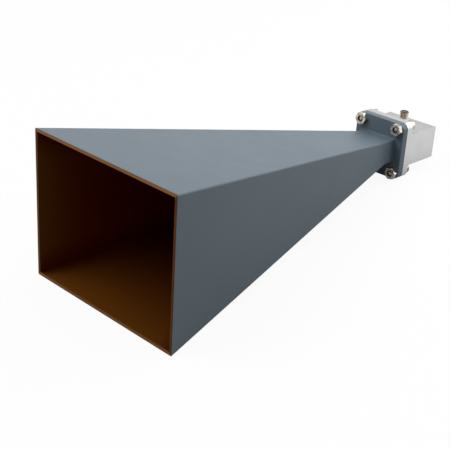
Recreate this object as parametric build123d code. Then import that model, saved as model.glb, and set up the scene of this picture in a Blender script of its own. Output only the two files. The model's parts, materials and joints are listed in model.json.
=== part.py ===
from build123d import *
import os
from math import atan2, degrees

# Pyramidal horn antenna with a bolted-on waveguide-to-coax adapter, in millimetres.
# Each piece is drawn along the horn's own axis: X across the broad side of the waveguide,
# Y from the mouth back to the coax end, Z up, with the centre of the mouth at zero.
# At the end the whole part is laid on a table, where it rests on the lower edge of the
# mouth and on the lower rear edge of the adapter's flange.

# Waveguide (22.86 x 10.16 mm inside) and the tube that carries it through the horn's flange
guide_width = 22.86
guide_height = 10.16
guide_corner = 0.8
tube_wall = 1.27
tube_corner = 1.0
braze_gap = 0.04

# Flared horn: outside sizes at the mouth, and the collar that grips the tube
mouth_width = 122.5
mouth_height = 95.0
mouth_wall = 2.0
flare_length = 241.0
collar_length = 8.6
collar_side_wall = 1.75
collar_top_wall = 2.15
horn_edge_round = 1.0
collar_overlap = 3.0

# Square cover flanges and the four holes that bolt them together
flange_side = 41.28
flange_corner = 5.0
horn_flange_thickness = 5.2
adapter_flange_thickness = 5.8
paint_edge_break = 0.4
hole_from_side = 5.145
hole_from_top = 4.385
hole_diameter = 4.3

# Adapter block behind its flange, with the probe and the closed end of the waveguide
probe_from_joint = 23.0
short_from_probe = 6.5
end_wall = 5.5
head_clearance = 1.255
block_edge_break = 0.4
flange_edge_break = 0.3

# Socket head screws with split lock washers behind the adapter's flange, nuts on the horn's
screw_diameter = 4.166
screw_length = 14.3
screw_end_chamfer = 0.5
head_diameter = 6.86
head_height = 4.17
head_edge_chamfer = 0.35
socket_across_flats = 3.57
socket_depth = 2.0
washer_diameter = 7.4
washer_hole_diameter = 4.5
washer_thickness = 1.0
washer_slit = 0.6
washer_slit_slant = 35.0
nut_across_flats = 7.94
nut_thickness = 3.2
nut_hole_diameter = 4.3
nut_corner_chamfer = 0.45
nut_turns = (8.0, -6.0, 17.0, -11.0)

# Coax socket: screwed into the roof of the block down to its hexagonal shoulder
coax_thread_diameter = 6.35
coax_thread_length = 5.6
coax_relief_diameter = 5.4
coax_relief_length = 0.75
coax_end_chamfer = 0.35
shoulder_across_flats = 7.94
shoulder_height = 2.0
shank_length = 4.6
shank_gap = 0.06
coax_mouth_diameter = 4.6
coax_mouth_depth = 1.9
insulator_diameter = 4.1
insulator_gap = 0.03
insulator_into_guide = 1.6
pin_diameter = 1.27
pin_gap = 0.02
pin_hole_diameter = 0.94
pin_hole_depth = 2.6
pin_slot = 0.2
pin_slot_depth = 2.2
probe_into_guide = 5.8
probe_tip_chamfer = 0.3

# Sizes that follow
tube_width = guide_width + 2 * tube_wall
tube_height = guide_height + 2 * tube_wall
collar_width = tube_width + 2 * collar_side_wall
collar_height = tube_height + 2 * collar_top_wall
flange_front = flare_length + collar_length
joint = flange_front + horn_flange_thickness
flange_rear = joint + adapter_flange_thickness
block_rear = joint + probe_from_joint + short_from_probe + end_wall
hole_x = flange_side / 2 - hole_from_side
hole_z = flange_side / 2 - hole_from_top
hole_centres = ((-hole_x, hole_z), (hole_x, hole_z), (hole_x, -hole_z), (-hole_x, -hole_z))
block_top = hole_z - head_diameter / 2 - head_clearance
head_seat = flange_rear + washer_thickness
probe_y = joint + probe_from_joint
coax_top = block_top + shoulder_height + coax_relief_length + coax_thread_length
insulator_top = coax_top - coax_mouth_depth
rest_tilt = degrees(atan2((mouth_height - flange_side) / 2, flange_rear - flange_edge_break))


def station(y):
    """Plane square to the horn's axis at y, facing the coax end, with its second axis up."""
    return Plane(origin=(0, y, 0), x_dir=(-1, 0, 0), z_dir=(0, 1, 0))


def bar(width, height, start, length, corner):
    """Rectangular bar along the axis with rounded corners."""
    return extrude(station(start) * RectangleRounded(width, height, corner), amount=length)


def wedge(plane, mouth, throat, length, depth):
    """Prism on both sides of a plane, with an outline that narrows away from the mouth."""
    left_side = ((-throat / 2, length), (-mouth / 2, 0))
    right_side = ((mouth / 2, 0), (throat / 2, length))
    return extrude(plane * Polygon(*left_side, *right_side, align=None), amount=depth, both=True)


def stump(mouth, throat, overrun=0.0):
    """Four-sided flare where two wedges cross, run on past the collar's start by the overrun."""
    length = flare_length + overrun
    width, height = (m - (m - t) * length / flare_length for m, t in zip(mouth, throat))
    seen_from_side = Plane(origin=(0, 0, 0), x_dir=(0, 0, 1), z_dir=(-1, 0, 0))
    across = wedge(Plane.XY, mouth[0], width, length, mouth[1])
    return across & wedge(seen_from_side, mouth[1], height, length, mouth[0])


def along_holes(outline, start, length):
    """The same outline pushed along the axis at each of the four flange holes."""
    return [extrude(station(start) * Pos(x, z) * outline, amount=length) for x, z in hole_centres]


def upright(radius, bottom, top):
    """Round bar on the coax axis between two heights."""
    return extrude(Plane((0, probe_y, bottom)) * Circle(radius), amount=top - bottom)


def horn_flare():
    """Hollow flare and collar in one; their rounded edges run into each other at the overlap."""
    outside = stump((mouth_width, mouth_height), (collar_width, collar_height), collar_overlap)
    long_edges = outside.edges().group_by(Axis.Y)[1]
    outside = fillet(long_edges, horn_edge_round)
    collar = bar(
        collar_width,
        collar_height,
        flare_length - collar_overlap,
        collar_overlap + collar_length,
        horn_edge_round,
    )
    opening = (mouth_width - 2 * mouth_wall, mouth_height - 2 * mouth_wall)
    inside = stump(opening, (guide_width, guide_height))
    seat = bar(
        tube_width + 2 * braze_gap,
        tube_height + 2 * braze_gap,
        flare_length,
        collar_length,
        tube_corner + braze_gap,
    )
    return outside + collar - inside - seat


def throat_tube():
    length = collar_length + horn_flange_thickness
    outside = bar(tube_width, tube_height, flare_length, length, tube_corner)
    inside = extrude(station(flare_length) * Rectangle(guide_width, guide_height), amount=length)
    return outside - inside


def flange_plate(start, thickness):
    return bar(flange_side, flange_side, start, thickness, flange_corner)


def horn_flange():
    plate = flange_plate(flange_front, horn_flange_thickness)
    plate = chamfer(plate.faces().sort_by(Axis.Y)[0].edges(), paint_edge_break)
    seat = bar(
        tube_width + 2 * braze_gap,
        tube_height + 2 * braze_gap,
        flange_front,
        horn_flange_thickness,
        tube_corner + braze_gap,
    )
    return plate - seat - along_holes(Circle(hole_diameter / 2), flange_front, horn_flange_thickness)


def adapter_block():
    """Solid block behind the flange, as wide as the flange, with its outer edges broken."""
    block = Pos(0, (joint + block_rear) / 2, 0) * Box(flange_side, block_rear - joint, 2 * block_top)
    long_edges = block.edges().filter_by(Axis.Y)
    rear_edges = block.faces().sort_by(Axis.Y)[-1].edges()
    return chamfer(long_edges + rear_edges, block_edge_break)


def connector_bore():
    """Tapped hole for the coax socket, and the narrower hole on for its insulator."""
    thread_radius = coax_thread_diameter / 2 + shank_gap
    tapped = upright(thread_radius, block_top - shank_length - shank_gap, block_top)
    narrow = upright(insulator_diameter / 2 + insulator_gap, 0, block_top)
    return tapped + narrow


def adapter_body():
    plate = flange_plate(joint, adapter_flange_thickness)
    plate = chamfer(plate.faces().sort_by(Axis.Y)[-1].edges(), flange_edge_break)
    cavity = bar(guide_width, guide_height, joint, probe_from_joint + short_from_probe, guide_corner)
    holes = along_holes(Circle(hole_diameter / 2), joint, adapter_flange_thickness)
    return plate + adapter_block() - cavity - connector_bore() - holes


def flange_screws():
    screws = []
    socket_floor = head_seat + head_height - socket_depth
    for x, z in hole_centres:
        axis = Pos(x, z)
        head = extrude(station(head_seat) * axis * Circle(head_diameter / 2), amount=head_height)
        head = chamfer(head.edges().sort_by(Axis.Y)[-1], head_edge_chamfer)
        shank = extrude(station(head_seat) * axis * Circle(screw_diameter / 2), amount=-screw_length)
        shank = chamfer(shank.edges().sort_by(Axis.Y)[0], screw_end_chamfer)
        hexagon = RegularPolygon(socket_across_flats / 2, 6, major_radius=False)
        socket = extrude(station(socket_floor) * axis * hexagon, amount=socket_depth)
        screws.append(head + shank - socket)
    return screws


def lock_washers():
    washers = []
    ring = Circle(washer_diameter / 2) - Circle(washer_hole_diameter / 2)
    reach = washer_diameter / 2
    for x, z in hole_centres:
        washer = extrude(station(flange_rear) * Pos(x, z) * ring, amount=washer_thickness)
        slit = Rot(0, washer_slit_slant, 0) * Box(washer_slit, reach, 3 * washer_thickness)
        middle = flange_rear + washer_thickness / 2
        washers.append(washer - station(middle) * Pos(x, z + reach / 2) * slit)
    return washers


def hex_nuts():
    nuts = []
    start = flange_front - nut_thickness
    hexagon = RegularPolygon(nut_across_flats / 2, 6, major_radius=False)
    corner_radius = hexagon.vertices()[0].center().length
    for (x, z), turn in zip(hole_centres, nut_turns):
        axis = Pos(x, z)
        prism = extrude(station(start) * axis * Rot(0, 0, turn) * hexagon, amount=nut_thickness)
        cone = extrude(station(start) * axis * Circle(corner_radius), amount=nut_thickness)
        cone = chamfer(cone.edges().filter_by(GeomType.CIRCLE), nut_corner_chamfer)
        hole = extrude(station(start) * axis * Circle(nut_hole_diameter / 2), amount=nut_thickness)
        nuts.append((prism & cone) - hole)
    return nuts


def coax_shell():
    """Threaded socket body: shoulder, relief and thread above the block, shank inside it."""
    hexagon = RegularPolygon(shoulder_across_flats / 2, 6, major_radius=False)
    shoulder = extrude(Plane((0, probe_y, block_top)) * hexagon, amount=shoulder_height)
    shoulder_top = block_top + shoulder_height
    relief = upright(coax_relief_diameter / 2, shoulder_top, shoulder_top + coax_relief_length)
    thread = upright(coax_thread_diameter / 2, shoulder_top + coax_relief_length, coax_top)
    thread = chamfer(thread.edges().filter_by(GeomType.CIRCLE), coax_end_chamfer)
    shank = upright(coax_thread_diameter / 2, block_top - shank_length, block_top)
    shank = chamfer(shank.edges().sort_by(Axis.Z)[0], coax_end_chamfer)
    bore = upright(insulator_diameter / 2 + insulator_gap, block_top - shank_length, coax_top)
    coax_mouth = upright(coax_mouth_diameter / 2, insulator_top, coax_top)
    return shoulder + relief + thread + shank - bore - coax_mouth


def insulator():
    bottom = guide_height / 2 - insulator_into_guide
    sleeve = upright(insulator_diameter / 2, bottom, insulator_top)
    return sleeve - upright(pin_diameter / 2 + pin_gap, bottom, insulator_top)


def centre_contact():
    """Centre pin of the socket, which runs on down into the waveguide as its probe."""
    pin = upright(pin_diameter / 2, guide_height / 2 - probe_into_guide, insulator_top)
    pin = chamfer(pin.edges().sort_by(Axis.Z)[0], probe_tip_chamfer)
    pin -= upright(pin_hole_diameter / 2, insulator_top - pin_hole_depth, insulator_top)
    for turn in (0, 90):
        slot = Rot(0, 0, turn) * Box(pin_slot, 2 * pin_diameter, pin_slot_depth)
        pin -= Pos(0, probe_y, insulator_top - pin_slot_depth / 2) * slot
    return pin


def lay_down(pieces):
    """Tip the part onto its two resting edges, then centre it over the origin of the table."""
    tipped = {name: Rot(-rest_tilt, 0, 0) * Compound(solids) for name, solids in pieces.items()}
    box = Compound(list(tipped.values())).bounding_box()
    to_origin = Pos(0, -box.center().Y, -box.min.Z)
    return {name: to_origin * piece for name, piece in tipped.items()}


makers = (
    horn_flare,
    throat_tube,
    horn_flange,
    adapter_body,
    flange_screws,
    lock_washers,
    hex_nuts,
    coax_shell,
    insulator,
    centre_contact,
)


def main():
    os.makedirs("parts", exist_ok=True)
    pieces = {}
    for make in makers:
        made = make()
        solids = [s for part in (made if isinstance(made, list) else [made]) for s in part.solids()]
        pieces[make.__name__] = solids
    for name, piece in lay_down(pieces).items():
        export_step(piece, os.path.join("parts", name + ".step"))


main()
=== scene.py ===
import json
import math

import bmesh
import bpy
from mathutils import Matrix, Vector


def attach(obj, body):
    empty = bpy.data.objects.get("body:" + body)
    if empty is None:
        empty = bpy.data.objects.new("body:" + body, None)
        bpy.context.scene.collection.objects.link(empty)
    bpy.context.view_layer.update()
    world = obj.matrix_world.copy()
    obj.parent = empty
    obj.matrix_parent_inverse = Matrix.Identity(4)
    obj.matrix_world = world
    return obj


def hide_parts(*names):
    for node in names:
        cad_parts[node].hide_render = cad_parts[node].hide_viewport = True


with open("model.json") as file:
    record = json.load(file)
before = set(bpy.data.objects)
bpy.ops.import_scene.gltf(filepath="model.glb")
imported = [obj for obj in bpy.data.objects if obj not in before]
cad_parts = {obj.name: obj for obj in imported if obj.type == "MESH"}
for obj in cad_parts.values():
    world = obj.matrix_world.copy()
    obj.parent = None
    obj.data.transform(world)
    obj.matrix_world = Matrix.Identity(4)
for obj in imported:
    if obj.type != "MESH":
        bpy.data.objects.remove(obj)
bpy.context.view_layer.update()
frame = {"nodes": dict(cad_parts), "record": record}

# The horn's own axes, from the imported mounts: X across, Y from the mouth to the coax end, Z up
MM = 0.001
mount = {row["name"]: row for row in frame["record"]["mounts"]}
along = -Vector(mount["mouth_rim"]["axis"])
upward = Vector(mount["coax_thread"]["axis"])
across = along.cross(upward)

# Sizes in millimetres along those axes, the same as in the part's source
mouth_half = Vector((61.25, 47.5))
mouth_wall = 2.0
guide_half = Vector((11.43, 5.08))
flare_length = 241.0
collar_half = Vector((14.45, 8.5))
collar_corner = 1.0
flange_front = 249.6
flange_rear = 260.6
flange_corner = 5.0
hole_centres = ((-15.495, 16.255), (15.495, 16.255), (15.495, -16.255), (-15.495, -16.255))
head_seat = 261.6
head_radius = 3.43
nut_face = 246.4
nut_hole_radius = 2.15
coax_y = 277.8
coax_end = 19.92
block_top = 11.57
block_side = 20.64
block_edge_break = 0.4
opening_half = mouth_half - Vector((mouth_wall, mouth_wall))

# Radius of the crown on the end of each screw, in millimetres
screw_end_radius = 1.5

rim_centre = Vector(mount["mouth_rim"]["pos_m"])
mouth_centre = rim_centre - upward * (mouth_half.y - mouth_wall / 2) * MM
horn_place = Matrix((across, along, upward)).transposed().to_4x4()
horn_place.translation = mouth_centre
from_mm = horn_place @ Matrix.Scale(MM, 4)


# Mesh helpers

def piece_from(bm, name, material, sharp_angle=35.0):
    """Places a finished bmesh on the horn and makes it a piece that rides on it."""
    bmesh.ops.transform(bm, matrix=from_mm, verts=bm.verts)
    mesh = bpy.data.meshes.new(name)
    bm.to_mesh(mesh)
    bm.free()
    mesh.polygons.foreach_set("use_smooth", [True] * len(mesh.polygons))
    mesh.set_sharp_from_angle(angle=math.radians(sharp_angle))
    mesh.materials.append(material)
    piece = bpy.data.objects.new(name, mesh)
    bpy.context.scene.collection.objects.link(piece)
    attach(piece, "root")
    return piece


corner_steps = 4


def rounded_loop(bm, half, corner, y):
    """Edge loop of a rectangle with rounded corners, square to the horn's axis at y."""
    grid = bmesh.ops.create_grid(bm, x_segments=1, y_segments=1, size=1.0)
    upright = Matrix.Translation((0, y, 0)) @ Matrix.Rotation(math.pi / 2, 4, "X")
    stretch = Matrix.Diagonal((half[0], half[1], 1.0, 1.0))
    bmesh.ops.transform(bm, matrix=upright @ stretch, verts=grid["verts"])
    face = grid["verts"][0].link_faces[0]
    rounded = bmesh.ops.bevel(
        bm,
        geom=grid["verts"],
        offset=corner,
        affect="VERTICES",
        segments=corner_steps,
        profile=0.5,
        material=-1,
    )
    edges = list({edge for vert in rounded["verts"] for edge in vert.link_edges})
    filling = [face] if face.is_valid else edges[0].link_faces[:]
    bmesh.ops.delete(bm, geom=filling, context="FACES_ONLY")
    return edges


def hoop(bm, loops):
    """Bridges each loop to the next and the last to the first, which closes a ring-shaped shell."""
    for one, other in zip(loops, loops[1:] + loops[:1]):
        bmesh.ops.bridge_loops(bm, edges=one + other)
    bmesh.ops.recalc_face_normals(bm, faces=bm.faces)


def lathe(bm, outline, steps):
    """Spins a closed outline of (radius, height) points about the upright axis."""
    verts = [bm.verts.new((radius, 0, height)) for radius, height in outline]
    edges = [bm.edges.new(pair) for pair in zip(verts, verts[1:] + verts[:1])]
    bmesh.ops.spin(
        bm,
        geom=verts + edges,
        cent=(0, 0, 0),
        axis=(0, 0, 1),
        angle=2 * math.pi,
        steps=steps,
        use_merge=True,
    )
    bmesh.ops.recalc_face_normals(bm, faces=bm.faces)


def trim(bm, height, facing):
    """Cuts away what is above a level plane, or below it where facing is -1, and caps the cut."""
    cut = bmesh.ops.bisect_plane(
        bm,
        geom=bm.verts[:] + bm.edges[:] + bm.faces[:],
        plane_co=(0, 0, height),
        plane_no=(0, 0, facing),
        clear_outer=True,
    )
    rim = [part for part in cut["geom_cut"] if isinstance(part, bmesh.types.BMEdge)]
    bmesh.ops.holes_fill(bm, edges=rim)


# A ridge is sunk by millimetres, and its foot and crest are half widths in shares of the pitch
ridge_steps = 40
ridge_sunk = 0.05
foot_share = 0.46
crest_share = 0.08


def thread_ridge(root, crest, pitch, bottom, top):
    """Bmesh of a helical ridge from its root radius to its crest radius, inwards or outwards."""
    bm = bmesh.new()
    foot = root - math.copysign(ridge_sunk, crest - root)
    start = bottom - pitch
    turns = math.ceil((top - bottom) / pitch) + 2
    section = (
        (foot, -foot_share),
        (crest, -crest_share),
        (crest, crest_share),
        (foot, foot_share),
    )
    verts = [bm.verts.new((radius, 0, start + share * pitch)) for radius, share in section]
    edges = [bm.edges.new(pair) for pair in zip(verts, verts[1:] + verts[:1])]
    bmesh.ops.spin(
        bm,
        geom=verts + edges,
        cent=(0, 0, 0),
        axis=(0, 0, 1),
        dvec=(0, 0, pitch / ridge_steps),
        angle=2 * math.pi * turns,
        steps=ridge_steps * turns,
    )
    trim(bm, top, 1)
    trim(bm, bottom, -1)
    bmesh.ops.recalc_face_normals(bm, faces=bm.faces)
    return bm


def stand_on(bm, matrix):
    """Moves a whole bmesh by a matrix."""
    bmesh.ops.transform(bm, matrix=matrix, verts=bm.verts)


def gather(bm, other):
    """Moves the mesh of one bmesh into another."""
    scrap = bpy.data.meshes.new("scrap")
    other.to_mesh(scrap)
    other.free()
    bm.from_mesh(scrap)
    bpy.data.meshes.remove(scrap)


def at_hole(x, z, y):
    """Lays an upright shape along the axis of a flange hole, with its top towards the coax end."""
    return Matrix.Translation((x, y, z)) @ Matrix.Rotation(-math.pi / 2, 4, "X")


# Materials

def new_node(tree, kind, inputs=None, **settings):
    """A shader node whose inputs are numbers, colours or the outputs of other nodes."""
    made = tree.nodes.new("ShaderNode" + kind)
    for name, value in settings.items():
        setattr(made, name, value)
    for name, value in (inputs or {}).items():
        if isinstance(value, bpy.types.NodeSocket):
            tree.links.new(value, made.inputs[name])
        else:
            made.inputs[name].default_value = value
    return made


def start_material(name, **sockets):
    """A new principled material, with the values that are the same all over set on its sockets."""
    material = bpy.data.materials.new(name)
    material.use_nodes = True
    tree = material.node_tree
    shader = tree.nodes["Principled BSDF"]
    for socket, value in sockets.items():
        shader.inputs[socket.replace("_", " ")].default_value = value
    return material, tree, shader


def own_axes(tree, stretch=(1.0, 1.0, 1.0)):
    """Object coordinates turned into the horn's own axes, then stretched for a grain."""
    where = new_node(tree, "TexCoord").outputs["Object"]
    turned = new_node(
        tree,
        "Mapping",
        {"Vector": where, "Location": mouth_centre, "Rotation": horn_place.to_euler()},
        vector_type="TEXTURE",
    )
    scaled = new_node(tree, "Mapping", {"Vector": turned.outputs[0], "Scale": stretch})
    return scaled.outputs[0]


def noise(tree, vector, scale, detail=3.0, roughness=0.5):
    """Cloudy pattern, with its scale in waves to the metre."""
    made = new_node(
        tree,
        "TexNoise",
        {"Vector": vector, "Scale": scale, "Detail": detail, "Roughness": roughness},
    )
    return made.outputs["Fac"]


def blend_colours(tree, factor, one, other, low=0.35, high=0.65):
    """Runs from one colour to the other as a pattern goes from low to high."""
    ramp = new_node(tree, "ValToRGB", {"Fac": factor})
    ramp.color_ramp.elements[0].position = low
    ramp.color_ramp.elements[0].color = (*one, 1.0)
    ramp.color_ramp.elements[1].position = high
    ramp.color_ramp.elements[1].color = (*other, 1.0)
    return ramp.outputs["Color"]


def spread(tree, value, low, high, start=0.3, end=0.7):
    """Maps a pattern onto a range of numbers."""
    made = new_node(
        tree,
        "MapRange",
        {"Value": value, "From Min": start, "From Max": end, "To Min": low, "To Max": high},
    )
    return made.outputs["Result"]


def past(tree, place, start, end):
    """0 short of the start and 1 past the end, both in millimetres."""
    return spread(tree, place, 0.0, 1.0, start * MM, end * MM)


def short_of(tree, place, start, end):
    """1 short of the start and 0 past the end, both in millimetres."""
    return spread(tree, place, 1.0, 0.0, start * MM, end * MM)


def bumps(tree, height, depth):
    """Relief from a pattern, with its depth in millimetres."""
    made = new_node(tree, "Bump", {"Height": height, "Distance": depth * MM, "Strength": 1.0})
    return made.outputs["Normal"]


def connect(tree, shader, **sockets):
    """Links outputs to the shader's sockets of the same names."""
    for socket, output in sockets.items():
        tree.links.new(output, shader.inputs[socket.replace("_", " ")])


def mix_colours(tree, factor, one, other):
    """Mixes two colours, each a plain colour or the output of a pattern."""
    made = new_node(tree, "Mix", {"Factor": factor}, data_type="RGBA")
    for number, colour in ((6, one), (7, other)):
        if isinstance(colour, bpy.types.NodeSocket):
            tree.links.new(colour, made.inputs[number])
        else:
            made.inputs[number].default_value = (*colour, 1.0)
    return made.outputs[2]


def calculate(tree, operation, one, other=None):
    """One step of arithmetic on outputs or numbers."""
    made = new_node(tree, "Math", operation=operation)
    for socket, value in zip(made.inputs, (one, other)):
        if isinstance(value, bpy.types.NodeSocket):
            tree.links.new(value, socket)
        elif value is not None:
            socket.default_value = value
    return made.outputs[0]


def enamel_material():
    """Satin blue-grey enamel with a faint orange peel and a little drift in tone."""
    material, tree, shader = start_material("horn_enamel", Metallic=0.0, Specular_IOR_Level=0.3)
    place = own_axes(tree)
    drift = noise(tree, place, 14.0, 4.0)
    peel = noise(tree, place, 900.0, 2.0)
    tone = blend_colours(tree, drift, (0.112, 0.149, 0.181), (0.120, 0.158, 0.191))
    gloss = spread(tree, noise(tree, place, 55.0, 5.0), 0.40, 0.45)
    connect(tree, shader, Base_Color=tone, Roughness=gloss, Normal=bumps(tree, peel, 0.01))
    return material


def share_of_half(tree, reach, half_at_mouth, half_at_throat, along_horn):
    """How far out a point is, as a share of the opening's half size at its place along the horn."""
    half = spread(
        tree, along_horn, half_at_mouth * MM, half_at_throat * MM, 0.0, flare_length * MM
    )
    return calculate(tree, "DIVIDE", calculate(tree, "ABSOLUTE", reach), half)


# Where the bare metal changes tone: in millimetres for the rim, the top and the lit depth,
# and in shares of the opening for the rest. Painted shade darkens it deeper in the horn,
# in its corners and on its side walls and side rims, and painted light makes the top rim
# a little lighter than the bottom one.
wall_seam = 0.02
rim_fade = (0.2, 0.6)
top_fade = (-20.0, 20.0)
lit_depth = 90.0
side_corner_shade = 0.38
broad_corner_shade = (0.14, 0.60)
broad_corner_shade_depth = 0.6


def bare_metal_material():
    """Dull copper-brown metal, drawn along the horn, with painted shade in its corners, on its side
    walls and deeper in the horn, and painted light and shade on its rims.
    """
    material, tree, shader = start_material(
        "bare_horn_metal", Metallic=0.75, Specular_IOR_Level=0.0
    )
    place = own_axes(tree)
    axes = new_node(tree, "SeparateXYZ", {"Vector": place}).outputs
    sideways = share_of_half(tree, axes["X"], opening_half.x, guide_half.x, axes["Y"])
    upwards = share_of_half(tree, axes["Z"], opening_half.y, guide_half.y, axes["Y"])
    lead = calculate(tree, "SUBTRACT", upwards, sideways)
    on_broad_wall = spread(tree, lead, 0.0, 1.0, -wall_seam, wall_seam)
    on_rim = short_of(tree, axes["Y"], *rim_fade)
    on_top = past(tree, axes["Z"], *top_fade)
    in_depth = past(tree, axes["Y"], 0.0, lit_depth)
    on_broad = spread(tree, in_depth, *broad_corner_shade, 0.0, broad_corner_shade_depth)
    corner_shade_width = spread(tree, on_broad_wall, side_corner_shade, on_broad, 0.0, 1.0)
    to_corner = calculate(tree, "DIVIDE", calculate(tree, "ABSOLUTE", lead), corner_shade_width)
    near_corner = spread(tree, to_corner, 1.0, 0.0, 0.0, 1.0)

    grain = noise(tree, own_axes(tree, (700.0, 14.0, 700.0)), 1.0, 4.0, 0.6)
    tarnish = noise(tree, place, 22.0, 6.0, 0.6)
    # Painted light and shade: the side walls and side rims are darker copies, and the top rim is a
    # little lighter than the bottom one.
    broad_wall = blend_colours(tree, tarnish, (0.176, 0.059, 0.007), (0.148, 0.049, 0.005))
    side_wall = blend_colours(tree, tarnish, (0.114, 0.043, 0.005), (0.090, 0.034, 0.004))
    # Painted shade and red bounce light deeper in the horn.
    far_broad_wall = blend_colours(tree, tarnish, (0.092, 0.012, 0.001), (0.076, 0.010, 0.001))
    far_side_wall = blend_colours(tree, tarnish, (0.240, 0.006, 0.001), (0.200, 0.004, 0.001))
    top_rim = blend_colours(tree, tarnish, (0.230, 0.098, 0.030), (0.198, 0.083, 0.025))
    bottom_rim = blend_colours(tree, tarnish, (0.215, 0.086, 0.022), (0.180, 0.070, 0.017))
    side_rim = blend_colours(tree, tarnish, (0.088, 0.027, 0.002), (0.068, 0.020, 0.001))
    walls = mix_colours(tree, on_broad_wall, side_wall, broad_wall)
    far_walls = mix_colours(tree, on_broad_wall, far_side_wall, far_broad_wall)
    walls_by_depth = mix_colours(tree, in_depth, walls, far_walls)
    # Painted shade in the corners between the walls, redder deeper in the horn.
    corner_shade = mix_colours(tree, in_depth, (0.070, 0.012, 0.002), (0.140, 0.003, 0.001))
    corner_shaded = mix_colours(tree, near_corner, walls_by_depth, corner_shade)
    broad_rim = mix_colours(tree, on_top, bottom_rim, top_rim)
    rims = mix_colours(tree, on_broad_wall, side_rim, broad_rim)
    gloss = spread(tree, tarnish, 0.36, 0.46)
    connect(
        tree,
        shader,
        Base_Color=mix_colours(tree, on_rim, corner_shaded, rims),
        Roughness=gloss,
        Normal=bumps(tree, grain, 0.006),
    )
    return material


# Where the block changes tone, in millimetres below its top, each side of the flange's rear face,
# in from its edges, out from the waveguide's walls and behind the socket's axis. The darker top,
# upper flange, top side edges and waveguide inside are painted shade.
top_skin = (0.45, 0.30)
rear_fade = 0.1
edge_fade = (0.04, 0.01)
guide_fade = (0.02, 0.1)
guide_tone_end = (8.0, 9.0)


def block_material():
    """Machined aluminium with a fine matt grain, rougher on the top side edges, with painted shade
    on its top, the upper part of its flange, those edges and inside its waveguide.
    """
    material, tree, shader = start_material("block_aluminium", Metallic=1.0)
    place = own_axes(tree)
    grain = noise(tree, own_axes(tree, (260.0, 2600.0, 260.0)), 1.0, 3.0, 0.6)
    cloud = noise(tree, place, 60.0, 4.0)
    bright = blend_colours(tree, cloud, (0.570, 0.570, 0.576), (0.620, 0.620, 0.626))
    # Painted shade: the top face behind the flange is a darker copy of the aluminium.
    shaded_top = blend_colours(tree, cloud, (0.424, 0.420, 0.416), (0.470, 0.466, 0.460))
    axes = new_node(tree, "SeparateXYZ", {"Vector": place}).outputs
    at_top = past(tree, axes["Z"], block_top - top_skin[0], block_top - top_skin[1])
    behind = past(tree, axes["Y"], flange_rear - rear_fade, flange_rear + rear_fade)
    # Painted shade on the upper part of the flange.
    upper_flange_shade = past(tree, axes["Z"], block_side - flange_corner, block_side)
    flange_tone = mix_colours(tree, upper_flange_shade, bright, (0.530, 0.526, 0.524))
    faces = mix_colours(tree, calculate(tree, "MULTIPLY", at_top, behind), flange_tone, shaded_top)
    sideways = calculate(tree, "ABSOLUTE", axes["X"])
    upwards = calculate(tree, "ABSOLUTE", axes["Z"])
    outwards = calculate(tree, "ADD", sideways, axes["Z"])
    corner = block_side + block_top - block_edge_break
    at_edge = past(tree, outwards, corner - edge_fade[0], corner - edge_fade[1])
    on_edge = calculate(tree, "MULTIPLY", at_edge, behind)
    in_width = short_of(tree, sideways, *(guide_half.x + fade for fade in guide_fade))
    in_height = short_of(tree, upwards, *(guide_half.y + fade for fade in guide_fade))
    in_length = short_of(tree, axes["Y"], *(coax_y + fade for fade in guide_tone_end))
    in_section = calculate(tree, "MULTIPLY", in_width, in_height)
    in_guide = calculate(tree, "MULTIPLY", in_length, in_section)
    # Painted shade on the top side edges, darker to damp their highlight.
    outside = mix_colours(tree, on_edge, faces, (0.275, 0.270, 0.264))
    # Painted shade inside the waveguide.
    tone = mix_colours(tree, in_guide, outside, (0.200, 0.188, 0.172))
    gloss = spread(tree, on_edge, spread(tree, grain, 0.28, 0.38), 0.50, 0.0, 1.0)
    connect(tree, shader, Base_Color=tone, Roughness=gloss, Normal=bumps(tree, grain, 0.004))
    return material


# Where nuts and screws are dark inside with painted shade, in millimetres. The painted shade on a
# screw's end is a share.
bore_fade = 0.15
end_shade = 0.15
end_fade = 0.15
in_flange = 5.0


def hollow_mask(tree, place):
    """Painted shade: 1 in the bores of the nuts and the sockets of the screws, less on the ends of
    the screws.
    """
    axes = new_node(tree, "SeparateXYZ", {"Vector": place}).outputs
    x, z = (
        calculate(tree, "SUBTRACT", calculate(tree, "ABSOLUTE", axes[axis]), centre * MM)
        for axis, centre in zip("XZ", hole_centres[1])
    )
    reach = new_node(tree, "VectorMath", operation="LENGTH")
    tree.links.new(new_node(tree, "CombineXYZ", {"X": x, "Y": z}).outputs[0], reach.inputs[0])
    radius = reach.outputs["Value"]
    bore = short_of(tree, radius, nut_hole_radius, nut_hole_radius + bore_fade)
    end_rim = screw_end_radius * MM
    beside_end = spread(tree, radius, end_shade, 1.0, end_rim - end_fade * MM, end_rim)
    past_nut = past(tree, axes["Y"], flange_front, flange_front + in_flange)
    return calculate(tree, "MULTIPLY", bore, calculate(tree, "MAXIMUM", beside_end, past_nut))


def fastener_material():
    """Bright plated steel with fine turning marks and a warm cast, and painted shade in its hollows.
    """
    material, tree, shader = start_material("fastener_steel", Metallic=1.0)
    place = own_axes(tree)
    marks = noise(tree, own_axes(tree, (500.0, 4000.0, 500.0)), 1.0, 3.0, 0.6)
    cloud = noise(tree, place, 320.0, 4.0)
    plate = blend_colours(tree, cloud, (0.690, 0.630, 0.560), (0.280, 0.245, 0.205))
    gloss = spread(tree, marks, 0.18, 0.30)
    # Painted shade: near black in the bores, the sockets and round the screw ends.
    connect(
        tree,
        shader,
        Base_Color=mix_colours(tree, hollow_mask(tree, place), plate, (0.030, 0.026, 0.022)),
        Roughness=gloss,
        Normal=bumps(tree, marks, 0.004),
    )
    return material


# Millimetres below the open end of the socket where its band of painted shade fades
dark_end = (0.9, 0.6)


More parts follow.
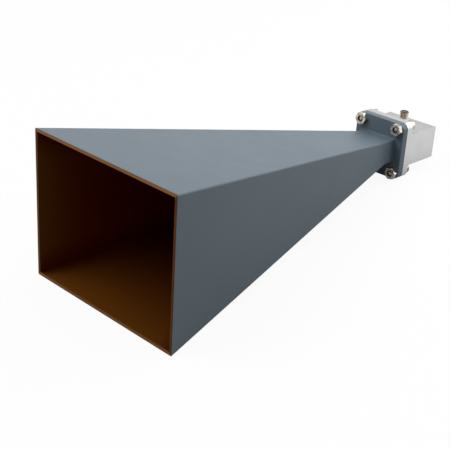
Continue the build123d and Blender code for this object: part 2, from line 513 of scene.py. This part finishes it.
def connector_material():
    """Passivated steel in blotches, with painted shade round the open end of the socket."""
    material, tree, shader = start_material("connector_steel", Metallic=1.0)
    place = own_axes(tree)
    marks = noise(tree, own_axes(tree, (400.0, 400.0, 5000.0)), 1.0, 3.0, 0.6)
    cloud = noise(tree, place, 500.0, 4.0)
    steel = blend_colours(tree, cloud, (0.680, 0.620, 0.560), (0.440, 0.385, 0.330))
    height = new_node(tree, "SeparateXYZ", {"Vector": place}).outputs["Z"]
    at_end = past(tree, height, coax_end - dark_end[0], coax_end - dark_end[1])
    # Painted shade round the open end.
    tone = mix_colours(tree, at_end, steel, (0.110, 0.092, 0.074))
    gloss = spread(tree, marks, 0.24, 0.36)
    connect(tree, shader, Base_Color=tone, Roughness=gloss, Normal=bumps(tree, marks, 0.004))
    return material


def insulator_material():
    """Waxy white plastic."""
    material, tree, shader = start_material(
        "insulator_plastic", Metallic=0.0, Subsurface_Weight=0.2, Subsurface_Scale=0.0005
    )
    cloud = noise(tree, own_axes(tree), 700.0, 3.0)
    tone = blend_colours(tree, cloud, (0.820, 0.820, 0.790), (0.870, 0.870, 0.850))
    gloss = spread(tree, cloud, 0.42, 0.55)
    connect(tree, shader, Base_Color=tone, Roughness=gloss, Normal=bumps(tree, cloud, 0.004))
    return material


def contact_material():
    """Gold plate over turned metal."""
    material, tree, shader = start_material("contact_gold", Metallic=1.0)
    marks = noise(tree, own_axes(tree, (900.0, 900.0, 9000.0)), 1.0, 3.0, 0.6)
    tone = blend_colours(tree, marks, (0.830, 0.580, 0.230), (0.760, 0.510, 0.190))
    gloss = spread(tree, marks, 0.16, 0.26)
    connect(tree, shader, Base_Color=tone, Roughness=gloss, Normal=bumps(tree, marks, 0.003))
    return material


enamel = enamel_material()
bare_metal = bare_metal_material()
block_aluminium = block_material()
fastener_steel = fastener_material()
connector_steel = connector_material()
insulator_plastic = insulator_material()
contact_gold = contact_material()

node_materials = {
    "horn_flare": enamel,
    "throat_tube": bare_metal,
    "horn_flange": enamel,
    "adapter_body": block_aluminium,
    "flange_screws": fastener_steel,
    "lock_washers": fastener_steel,
    "hex_nuts": fastener_steel,
    "coax_shell": connector_steel,
    "insulator": insulator_plastic,
    "centre_contact": contact_gold,
}
for name, material in node_materials.items():
    node_mesh = frame["nodes"][name].data
    node_mesh.materials.clear()
    node_mesh.materials.append(material)


# Pieces, with their sizes in millimetres

lining_proud = 0.05
lining_corner = 0.06
paint_on_rim = 0.25
rim_corner = 0.6
rim_sunk = 0.15


def mouth_lining():
    """The bare inside of the flare and its rim, as a thin skin that the paint stops short of."""
    bm = bmesh.new()
    rim_half = mouth_half - Vector((paint_on_rim, paint_on_rim))
    shown = Vector((lining_proud, lining_proud))
    sunk = 2 * shown
    loops = [
        rounded_loop(bm, rim_half, rim_corner, rim_sunk),
        rounded_loop(bm, rim_half, rim_corner, -lining_proud),
        rounded_loop(bm, opening_half - shown, lining_corner, -lining_proud),
        rounded_loop(bm, guide_half - shown, lining_corner, flare_length),
        rounded_loop(bm, guide_half + sunk, lining_corner, flare_length),
        rounded_loop(bm, opening_half + sunk, lining_corner, rim_sunk),
    ]
    hoop(bm, loops)
    return piece_from(bm, "mouth_lining", bare_metal)


braze_round = 0.5
braze_steps = 6
braze_inside = 0.97
braze_sunk = 0.1


def braze_fillet():
    """Painted fillet of braze where the collar meets the flange."""
    bm = bmesh.new()
    inside = collar_half * braze_inside
    loops = [rounded_loop(bm, inside, collar_corner, flange_front - braze_round)]
    for step in range(braze_steps + 1):
        turn = math.radians(90.0 * step / braze_steps)
        out = braze_round * (1 - math.cos(turn))
        y = flange_front - braze_round * (1 - math.sin(turn))
        loops.append(rounded_loop(bm, collar_half + Vector((out, out)), collar_corner + out, y))
    last = collar_half + Vector((braze_round, braze_round))
    loops.append(rounded_loop(bm, last, collar_corner + braze_round, flange_front + braze_sunk))
    loops.append(rounded_loop(bm, inside, collar_corner, flange_front + braze_sunk))
    hoop(bm, loops)
    return piece_from(bm, "braze_fillet", enamel, sharp_angle=50.0)


coax_steps = 96
coax_thread_radius = 3.175
coax_thread_root = 2.76
coax_thread_pitch = 0.7056
coax_shoulder_height = 2.0
coax_shoulder_half = 3.97
coax_shoulder_break = 0.18
coax_relief_height = 0.75
coax_relief_radius = 2.7
coax_relief_step = 0.1
coax_end_chamfer = 0.4
coax_end_break = 0.06
coax_bore = 2.08
coax_mouth_radius = 2.3
coax_mouth_depth = 1.9
coax_mouth_break = 0.08
coax_shank = 4.6
coax_shank_chamfer = 0.3
coax_thread_short = 0.02


def coax_barrel():
    """Threaded body of the coax socket on its hexagonal shoulder."""
    shoulder_top = block_top + coax_shoulder_height
    thread_bottom = shoulder_top + coax_relief_height
    step = coax_end - coax_mouth_depth
    bm = bmesh.new()
    outline = (
        (coax_bore, block_top - coax_shank),
        (coax_thread_radius - coax_shank_chamfer, block_top - coax_shank),
        (coax_thread_radius, block_top - coax_shank + coax_shank_chamfer),
        (coax_thread_radius, block_top + coax_relief_step),
        (coax_relief_radius, block_top + 2 * coax_relief_step),
        (coax_relief_radius, thread_bottom - coax_relief_step),
        (coax_thread_root, thread_bottom),
        (coax_thread_root, coax_end - coax_end_break),
        (coax_thread_root - coax_end_break, coax_end),
        (coax_mouth_radius + coax_mouth_break, coax_end),
        (coax_mouth_radius, coax_end - coax_mouth_break),
        (coax_mouth_radius, step),
        (coax_bore, step),
    )
    lathe(bm, outline, coax_steps)
    ridge = thread_ridge(
        coax_thread_root,
        coax_thread_radius,
        coax_thread_pitch,
        thread_bottom,
        coax_end - coax_thread_short,
    )
    for vert in ridge.verts:
        radius = math.hypot(vert.co.x, vert.co.y)
        from_end = min(coax_end - vert.co.z, vert.co.z - thread_bottom)
        limit = coax_thread_radius - max(0.0, coax_end_chamfer - from_end)
        if radius > limit:
            vert.co.xy *= limit / radius
    gather(bm, ridge)
    shoulder = bmesh.new()
    corner = coax_shoulder_half / math.cos(math.pi / 6)
    ring = bmesh.ops.create_circle(shoulder, segments=6, radius=corner, cap_ends=True)
    stand_on(shoulder, Matrix.Translation((0, 0, block_top)) @ Matrix.Rotation(math.pi / 6, 4, "Z"))
    grown = bmesh.ops.extrude_face_region(shoulder, geom=ring["verts"][0].link_faces[:])
    lifted = [part for part in grown["geom"] if isinstance(part, bmesh.types.BMVert)]
    bmesh.ops.translate(shoulder, verts=lifted, vec=(0, 0, coax_shoulder_height))
    bmesh.ops.recalc_face_normals(shoulder, faces=shoulder.faces)
    bmesh.ops.bevel(
        shoulder,
        geom=shoulder.edges[:],
        offset=coax_shoulder_break,
        affect="EDGES",
        segments=3,
        profile=0.5,
        material=-1,
    )
    gather(bm, shoulder)
    bmesh.ops.translate(bm, verts=bm.verts, vec=(0, coax_y, 0))
    barrel = piece_from(bm, "coax_barrel", connector_steel)
    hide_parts("coax_shell")
    return barrel


fastener_pitch = 0.794
nut_thread_crest = 1.78
nut_thread_from = 0.15
nut_thread_to = 1.0
screw_end = 247.3
screw_end_crown = 0.5
screw_end_sunk = 0.05


def nut_threads():
    """The first turns of thread that show in each nut, outside the end of its screw."""
    bm = bmesh.new()
    for x, z in hole_centres:
        ridge = thread_ridge(
            nut_hole_radius, nut_thread_crest, fastener_pitch, nut_thread_from, nut_thread_to
        )
        stand_on(ridge, at_hole(x, z, nut_face))
        gather(bm, ridge)
    return piece_from(bm, "nut_threads", fastener_steel)


def screw_ends():
    """The crowned end of each screw, which shows inside its nut."""
    bm = bmesh.new()
    for x, z in hole_centres:
        crown = bmesh.new()
        bmesh.ops.create_uvsphere(crown, u_segments=32, v_segments=16, radius=1.0)
        flattened = (screw_end_radius, screw_end_radius, screw_end_crown, 1.0)
        stand_on(crown, Matrix.Diagonal(flattened))
        trim(crown, screw_end_sunk, 1)
        stand_on(crown, at_hole(x, z, screw_end))
        gather(bm, crown)
    return piece_from(bm, "screw_ends", fastener_steel)


knurl_ribs = 48
knurl_height = 0.09
knurl_from = 0.5
knurl_to = 3.3
knurl_slope = 0.15
band_buried = 0.2
band_proud = 0.005


def knurled_bands():
    """Ribbed band round the side of each screw head."""
    bm = bmesh.new()
    inside = head_radius - band_buried
    outside = head_radius + band_proud
    outline = (
        (inside, knurl_from),
        (outside, knurl_from),
        (outside, knurl_from + knurl_slope),
        (outside, knurl_to - knurl_slope),
        (outside, knurl_to),
        (inside, knurl_to),
    )
    for x, z in hole_centres:
        band = bmesh.new()
        lathe(band, outline, 2 * knurl_ribs)
        for vert in band.verts:
            column = round(math.atan2(vert.co.y, vert.co.x) * knurl_ribs / math.pi)
            from_end = min(vert.co.z - knurl_from, knurl_to - vert.co.z)
            if column % 2 and from_end > 0.5 * knurl_slope:
                vert.co.xy *= 1 + knurl_height / outside
        stand_on(band, at_hole(x, z, head_seat))
        gather(bm, band)
    return piece_from(bm, "knurled_bands", fastener_steel)


mouth_lining()
braze_fillet()
coax_barrel()
nut_threads()
screw_ends()
knurled_bands()


# Floor, light and camera: places and sizes in metres, the lens and the film in millimetres

floor_reach = 6.0
floor_colour = (0.93, 0.93, 0.93)
floor_bounce = (0.13, 0.13, 0.13)
floor_evenness = 0.93
shadow_reach = 0.12
wall_as_light = (0.10, 0.10, 0.102)


def mirrored(tree):
    """1 for rays that reach the background from a glossy surface or through glass."""
    rays = new_node(tree, "LightPath").outputs
    return calculate(tree, "MAXIMUM", rays["Is Glossy Ray"], rays["Is Transmission Ray"])


def shown_white(tree):
    """1 for the rays that show the background: straight to the camera, mirrored or through glass."""
    straight = new_node(tree, "LightPath").outputs["Is Camera Ray"]
    return calculate(tree, "MAXIMUM", straight, mirrored(tree))


def floor():
    """Plain white floor that keeps a soft shadow. It is darker to light that bounces off it, and in
    reflections it carries a painted shadow where the horn hides it from open sky.
    """
    bm = bmesh.new()
    bmesh.ops.create_grid(bm, x_segments=1, y_segments=1, size=floor_reach)
    mesh = bpy.data.meshes.new("floor")
    bm.to_mesh(mesh)
    bm.free()
    plane = bpy.data.objects.new("floor", mesh)
    bpy.context.scene.collection.objects.link(plane)
    material, tree, shader = start_material("floor_white", Roughness=0.9, Specular_IOR_Level=0.0)
    shown = shown_white(tree)
    tone = blend_colours(tree, shown, floor_bounce, floor_colour, 0.0, 1.0)
    connect(tree, shader, Base_Color=tone)
    # Painted shadow: in reflections the floor glows less where the horn closes off open sky.
    open_sky = new_node(tree, "AmbientOcclusion", {"Distance": shadow_reach}).outputs["AO"]
    under = calculate(tree, "MULTIPLY", mirrored(tree), calculate(tree, "SUBTRACT", 1.0, open_sky))
    white = new_node(tree, "Emission", {"Strength": calculate(tree, "SUBTRACT", 1.0, under)})
    mix = new_node(tree, "MixShader", {"Fac": calculate(tree, "MULTIPLY", shown, floor_evenness)})
    tree.links.new(shader.outputs[0], mix.inputs[1])
    tree.links.new(white.outputs[0], mix.inputs[2])
    tree.links.new(mix.outputs[0], tree.nodes["Material Output"].inputs["Surface"])
    mesh.materials.append(material)


def surroundings():
    """White to look at and in reflections, and a dim grey as light."""
    world = bpy.data.worlds.new("studio")
    world.use_nodes = True
    tree = world.node_tree
    seen = blend_colours(tree, shown_white(tree), wall_as_light, (1.0, 1.0, 1.0), 0.0, 1.0)
    tree.links.new(seen, tree.nodes["Background"].inputs["Color"])
    bpy.context.scene.world = world


def softbox(name, place, aim, size, power):
    """Rectangular lamp that points at a place on the horn."""
    light = bpy.data.lights.new(name, "AREA")
    light.shape = "RECTANGLE"
    light.size, light.size_y = size
    light.energy = power
    lamp = bpy.data.objects.new(name, light)
    lamp.location = place
    lamp.rotation_euler = (Vector(aim) - Vector(place)).to_track_quat("-Z", "Y").to_euler()
    bpy.context.scene.collection.objects.link(lamp)


camera_place = (0.40694, -0.43716, 0.33018)
camera_azimuth = math.radians(46.1716)
camera_elevation = math.radians(29.0059)
camera_roll = math.radians(-1.1661)
camera_lens = 82.320
camera_film = 36.0
camera_near = 0.01


def camera():
    """Camera at the photo's point of view."""
    level = Matrix.Rotation(camera_azimuth, 4, "Z")
    tipped = level @ Matrix.Rotation(math.pi / 2 - camera_elevation, 4, "X")
    turned = tipped @ Matrix.Rotation(camera_roll, 4, "Z")
    data = bpy.data.cameras.new("camera")
    data.lens = camera_lens
    data.sensor_width = camera_film
    data.clip_start = camera_near
    seen_by = bpy.data.objects.new("camera", data)
    seen_by.matrix_world = Matrix.Translation(camera_place) @ turned
    bpy.context.scene.collection.objects.link(seen_by)
    bpy.context.scene.camera = seen_by


floor()
surroundings()
softbox(
    "overhead_softbox",
    place=(-0.05, 0.12, 1.5),
    aim=(0.0, 0.0, 0.03),
    size=(3.4, 3.4),
    power=24.0,
)
softbox(
    "side_softbox",
    place=(0.27, 0.48, 0.31),
    aim=(0.0, 0.12, 0.03),
    size=(0.75, 0.55),
    power=2.3,
)
softbox(
    "front_softbox",
    place=(-0.80, -0.80, 1.35),
    aim=(0.0, -0.10, 0.03),
    size=(1.1, 1.3),
    power=15.0,
)
camera()
bpy.context.scene.view_settings.view_transform = "Standard"
